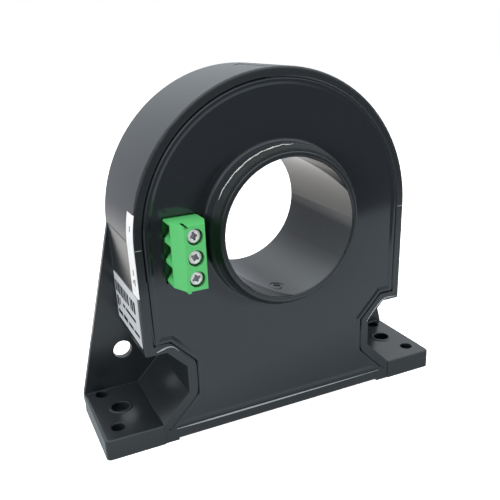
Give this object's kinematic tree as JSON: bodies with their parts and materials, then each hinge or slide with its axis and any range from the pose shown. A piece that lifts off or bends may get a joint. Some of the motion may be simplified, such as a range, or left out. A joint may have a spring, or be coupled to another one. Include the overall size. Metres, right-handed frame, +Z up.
{
  "type": "hall effect current sensor",
  "caption": "Panel-mounted hall effect current sensor: black arched housing on feet with a round through aperture, a rear mounting flange and a green screw terminal.",
  "frame": {"origin": "midway between the two large foot holes, on the plane that the feet rest on", "axes": "+X to the right along the base, +Y to the back along the aperture's axis, +Z up"},
  "size_m": [0.1, 0.0355, 0.0922],
  "materials": {
    "housing_plastic": "semi-gloss moulded ABS",
    "cover_plastic": "glossy moulded ABS",
    "sealant": "cured clear adhesive",
    "label_film": "silvered polyester film",
    "sticker_paper": "white coated paper",
    "terminal_plastic": "satin moulded polyamide",
    "screw_zinc": "zinc plated",
    "cage_nickel": "nickel plated",
    "pin_tinned": "tinned",
    "core_steel": "strip wound, varnished",
    "former_plastic": "moulded nylon",
    "winding_copper": "enamelled wire",
    "package_plastic": "moulded epoxy",
    "board_laminate": "solder resist",
    "capacitor_sleeve": "shrunk sleeve",
    "resistor_body": "lacquered",
    "diode_body": "moulded epoxy"
  },
  "bodies": {
    "root": {"amplifier_chip": "package_plastic", "burden_resistor_1": "resistor_body", "burden_resistor_2": "resistor_body", "capacitor_1": "capacitor_sleeve", "capacitor_2": "capacitor_sleeve", "circuit_board": "board_laminate", "core_ring": "core_steel", "former_back": "former_plastic", "former_front": "former_plastic", "front_cover": "cover_plastic", "hall_element": "package_plastic", "housing": "housing_plastic", "power_transistor_1": "package_plastic", "power_transistor_2": "package_plastic", "protection_diode_1": "diode_body", "protection_diode_2": "diode_body", "seal_sticker": "sticker_paper", "sealant_bead": "sealant", "secondary_winding": "winding_copper", "side_label": "label_film", "terminal_body": "terminal_plastic", "terminal_pin_1": "pin_tinned", "terminal_pin_2": "pin_tinned", "terminal_pin_3": "pin_tinned", "winding_lead_1": "winding_copper", "winding_lead_2": "winding_copper"},
    "screw_1": {"terminal_screw_1": "screw_zinc"},
    "cage_1": {"terminal_cage_1": "cage_nickel"},
    "screw_2": {"terminal_screw_2": "screw_zinc"},
    "cage_2": {"terminal_cage_2": "cage_nickel"},
    "screw_3": {"terminal_screw_3": "screw_zinc"},
    "cage_3": {"terminal_cage_3": "cage_nickel"}
  },
  "joints": [
    {"name": "screw_1_turn", "type": "hinge", "parent": "root", "child": "screw_1", "pos_m": [-0.0262, -0.02, 0.05698], "axis": [0, 1, 0], "range_deg": [0, 1440]},
    {"name": "cage_1_lift", "type": "slide", "parent": "root", "child": "cage_1", "axis": [0, -1, 0], "range_m": [0, 0.0018]},
    {"name": "screw_2_turn", "type": "hinge", "parent": "root", "child": "screw_2", "pos_m": [-0.0262, -0.02, 0.0519], "axis": [0, 1, 0], "range_deg": [0, 1440]},
    {"name": "cage_2_lift", "type": "slide", "parent": "root", "child": "cage_2", "axis": [0, -1, 0], "range_m": [0, 0.0018]},
    {"name": "screw_3_turn", "type": "hinge", "parent": "root", "child": "screw_3", "pos_m": [-0.0262, -0.02, 0.04682], "axis": [0, 1, 0], "range_deg": [0, 1440]},
    {"name": "cage_3_lift", "type": "slide", "parent": "root", "child": "cage_3", "axis": [0, -1, 0], "range_m": [0, 0.0018]}
  ],
  "couplings": [
    {"joint": "screw_1_turn", "follows": "cage_1_lift", "rad_per_m": 13963},
    {"joint": "screw_2_turn", "follows": "cage_2_lift", "rad_per_m": 13963},
    {"joint": "screw_3_turn", "follows": "cage_3_lift", "rad_per_m": 13963}
  ]
}
